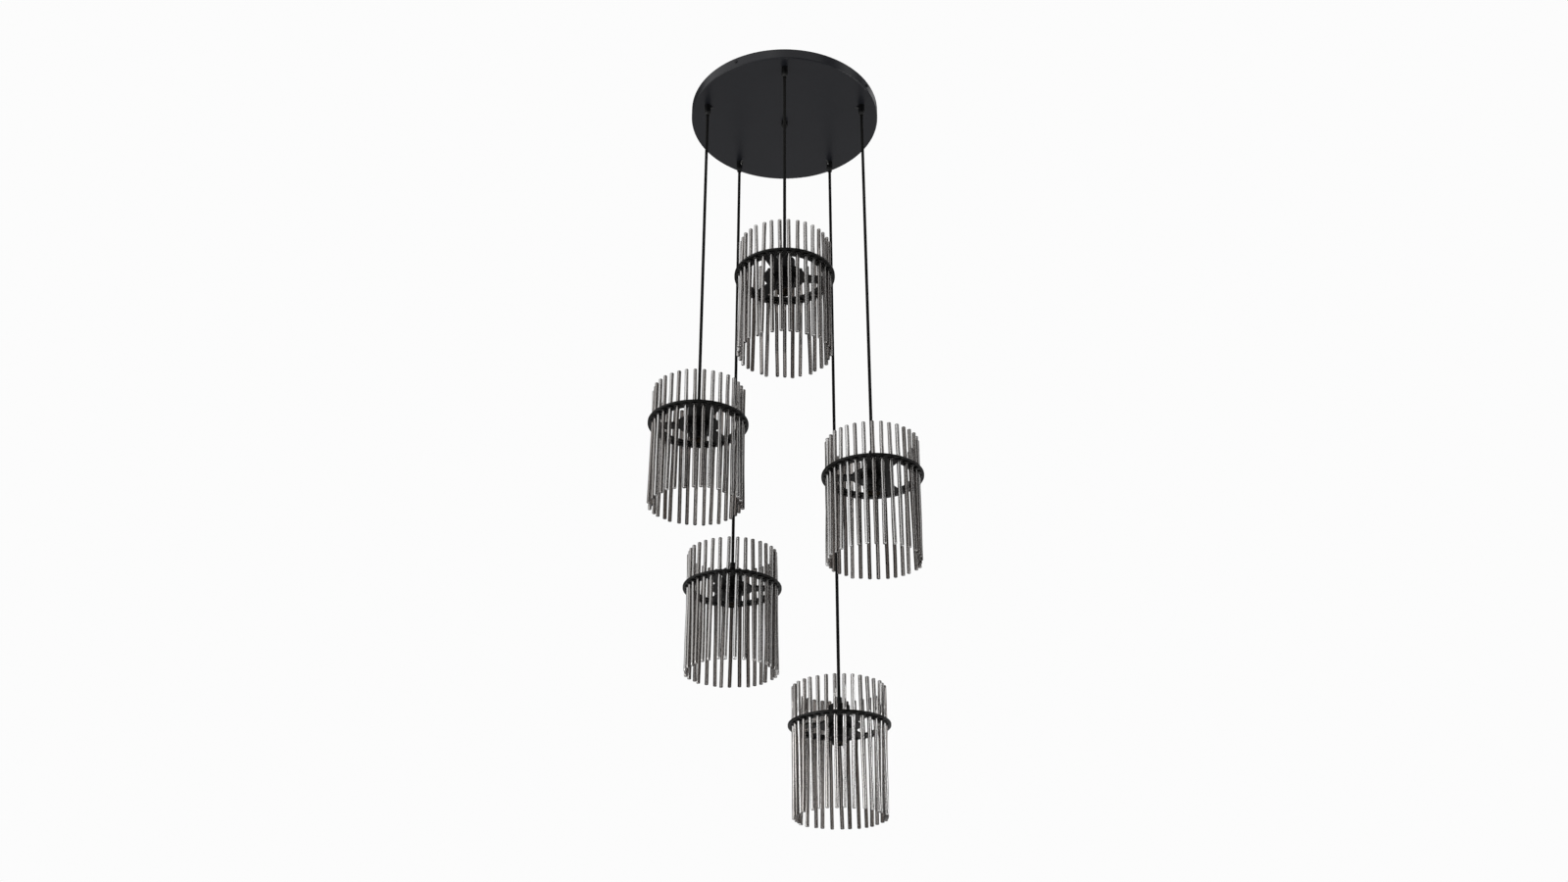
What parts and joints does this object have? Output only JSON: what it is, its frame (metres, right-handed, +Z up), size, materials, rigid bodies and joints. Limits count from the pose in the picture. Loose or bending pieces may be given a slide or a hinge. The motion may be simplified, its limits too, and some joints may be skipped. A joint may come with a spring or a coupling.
{
  "type": "cluster pendant light",
  "caption": "Round ceiling canopy with cord-hung pendants at stepped heights, each a flat ring of smoked glass rods round a lamp holder.",
  "frame": {"origin": "on the ceiling plane at the canopy's centre", "axes": "+Z up out of the ceiling, -Y towards the front pendant, which is the highest, +X to the right seen from the front"},
  "size_m": [0.5424, 0.5256, 1.56],
  "materials": {
    "matt_black_metal": "matt powder coat",
    "ring_black_metal": "fine satin powder coat",
    "zinc_plated_steel": "zinc plated",
    "black_screws": "black oxide, satin",
    "black_trim": "satin black",
    "nickel_brass": "nickel plated, satin",
    "nylon": "natural",
    "lead_sheath": "matt sheath",
    "white_plastic": "natural",
    "brass": "bright",
    "black_rubber": "matt",
    "textile_cord": "braided textile",
    "black_bakelite": "moulded, satin gloss",
    "smoked_glass": "smoked, polished",
    "clear_silicone": "clear, soft gloss"
  },
  "bodies": {
    "canopy": {"canopy_cover": "matt_black_metal", "ceiling_bracket": "zinc_plated_steel", "side_screws": "black_screws", "centre_cap": "black_trim", "cord_glands": "black_trim", "gland_nuts": "nickel_brass", "gland_grub_screws": "nylon", "inner_leads": "lead_sheath", "terminal_block": "white_plastic", "earth_terminal": "brass"},
    "sleeve_front": {"cord_sleeve_front": "black_rubber"},
    "cord_front": {"cord_front": "textile_cord"},
    "grip_front": {"cord_grip_front": "black_trim"},
    "shade_front": {"lamp_cup_front": "ring_black_metal", "lamp_holder_front": "black_bakelite", "socket_contacts_front": "brass", "shade_ring_nut_front": "black_bakelite", "ring_plate_front": "ring_black_metal", "glass_rods_front": "smoked_glass", "rod_o_rings_front": "clear_silicone"},
    "sleeve_left": {"cord_sleeve_left": "black_rubber"},
    "cord_left": {"cord_left": "textile_cord"},
    "grip_left": {"cord_grip_left": "black_trim"},
    "shade_left": {"lamp_cup_left": "ring_black_metal", "lamp_holder_left": "black_bakelite", "socket_contacts_left": "brass", "shade_ring_nut_left": "black_bakelite", "ring_plate_left": "ring_black_metal", "glass_rods_left": "smoked_glass", "rod_o_rings_left": "clear_silicone"},
    "sleeve_right": {"cord_sleeve_right": "black_rubber"},
    "cord_right": {"cord_right": "textile_cord"},
    "grip_right": {"cord_grip_right": "black_trim"},
    "shade_right": {"lamp_cup_right": "ring_black_metal", "lamp_holder_right": "black_bakelite", "socket_contacts_right": "brass", "shade_ring_nut_right": "black_bakelite", "ring_plate_right": "ring_black_metal", "glass_rods_right": "smoked_glass", "rod_o_rings_right": "clear_silicone"},
    "sleeve_back_left": {"cord_sleeve_back_left": "black_rubber"},
    "cord_back_left": {"cord_back_left": "textile_cord"},
    "grip_back_left": {"cord_grip_back_left": "black_trim"},
    "shade_back_left": {"lamp_cup_back_left": "ring_black_metal", "lamp_holder_back_left": "black_bakelite", "socket_contacts_back_left": "brass", "shade_ring_nut_back_left": "black_bakelite", "ring_plate_back_left": "ring_black_metal", "glass_rods_back_left": "smoked_glass", "rod_o_rings_back_left": "clear_silicone"},
    "sleeve_back_right": {"cord_sleeve_back_right": "black_rubber"},
    "cord_back_right": {"cord_back_right": "textile_cord"},
    "grip_back_right": {"cord_grip_back_right": "black_trim"},
    "shade_back_right": {"lamp_cup_back_right": "ring_black_metal", "lamp_holder_back_right": "black_bakelite", "socket_contacts_back_right": "brass", "shade_ring_nut_back_right": "black_bakelite", "ring_plate_back_right": "ring_black_metal", "glass_rods_back_right": "smoked_glass", "rod_o_rings_back_right": "clear_silicone"}
  },
  "joints": [
    {"name": "swing_side_front", "type": "hinge", "parent": "canopy", "child": "sleeve_front", "pos_m": [0, -0.18, -0.045], "axis": [0, 1, 0], "range_deg": [-3, 3]},
    {"name": "swing_front_front", "type": "hinge", "parent": "sleeve_front", "child": "cord_front", "pos_m": [0, -0.18, -0.045], "axis": [1, 0, 0], "range_deg": [-3, 3]},
    {"name": "height_front", "type": "slide", "parent": "cord_front", "child": "grip_front", "axis": [0, 0, 1], "range_m": [0, 0.2], "deforming": ["cord_front"]},
    {"name": "turn_front", "type": "hinge", "parent": "grip_front", "child": "shade_front", "pos_m": [0, -0.18, -0.564], "axis": [0, 0, 1], "range_deg": [-180, 180]},
    {"name": "swing_side_left", "type": "hinge", "parent": "canopy", "child": "sleeve_left", "pos_m": [-0.17119, -0.05562, -0.045], "axis": [0, 1, 0], "range_deg": [-3, 3]},
    {"name": "swing_front_left", "type": "hinge", "parent": "sleeve_left", "child": "cord_left", "pos_m": [-0.17119, -0.05562, -0.045], "axis": [1, 0, 0], "range_deg": [-3, 3]},
    {"name": "height_left", "type": "slide", "parent": "cord_left", "child": "grip_left", "axis": [0, 0, 1], "range_m": [0, 0.2], "deforming": ["cord_left"]},
    {"name": "turn_left", "type": "hinge", "parent": "grip_left", "child": "shade_left", "pos_m": [-0.17119, -0.05562, -0.83], "axis": [0, 0, 1], "range_deg": [-180, 180]},
    {"name": "swing_side_right", "type": "hinge", "parent": "canopy", "child": "sleeve_right", "pos_m": [0.17119, -0.05562, -0.045], "axis": [0, 1, 0], "range_deg": [-3, 3]},
    {"name": "swing_front_right", "type": "hinge", "parent": "sleeve_right", "child": "cord_right", "pos_m": [0.17119, -0.05562, -0.045], "axis": [1, 0, 0], "range_deg": [-3, 3]},
    {"name": "height_right", "type": "slide", "parent": "cord_right", "child": "grip_right", "axis": [0, 0, 1], "range_m": [0, 0.2], "deforming": ["cord_right"]},
    {"name": "turn_right", "type": "hinge", "parent": "grip_right", "child": "shade_right", "pos_m": [0.17119, -0.05562, -0.945], "axis": [0, 0, 1], "range_deg": [-180, 180]},
    {"name": "swing_side_back_left", "type": "hinge", "parent": "canopy", "child": "sleeve_back_left", "pos_m": [-0.1058, 0.14562, -0.045], "axis": [0, 1, 0], "range_deg": [-3, 3]},
    {"name": "swing_front_back_left", "type": "hinge", "parent": "sleeve_back_left", "child": "cord_back_left", "pos_m": [-0.1058, 0.14562, -0.045], "axis": [1, 0, 0], "range_deg": [-3, 3]},
    {"name": "height_back_left", "type": "slide", "parent": "cord_back_left", "child": "grip_back_left", "axis": [0, 0, 1], "range_m": [0, 0.2], "deforming": ["cord_back_left"]},
    {"name": "turn_back_left", "type": "hinge", "parent": "grip_back_left", "child": "shade_back_left", "pos_m": [-0.1058, 0.14562, -1.098], "axis": [0, 0, 1], "range_deg": [-180, 180]},
    {"name": "swing_side_back_right", "type": "hinge", "parent": "canopy", "child": "sleeve_back_right", "pos_m": [0.1058, 0.14562, -0.045], "axis": [0, 1, 0], "range_deg": [-3, 3]},
    {"name": "swing_front_back_right", "type": "hinge", "parent": "sleeve_back_right", "child": "cord_back_right", "pos_m": [0.1058, 0.14562, -0.045], "axis": [1, 0, 0], "range_deg": [-3, 3]},
    {"name": "height_back_right", "type": "slide", "parent": "cord_back_right", "child": "grip_back_right", "axis": [0, 0, 1], "range_m": [0, 0.2], "deforming": ["cord_back_right"]},
    {"name": "turn_back_right", "type": "hinge", "parent": "grip_back_right", "child": "shade_back_right", "pos_m": [0.1058, 0.14562, -1.381], "axis": [0, 0, 1], "range_deg": [-180, 180]}
  ]
}
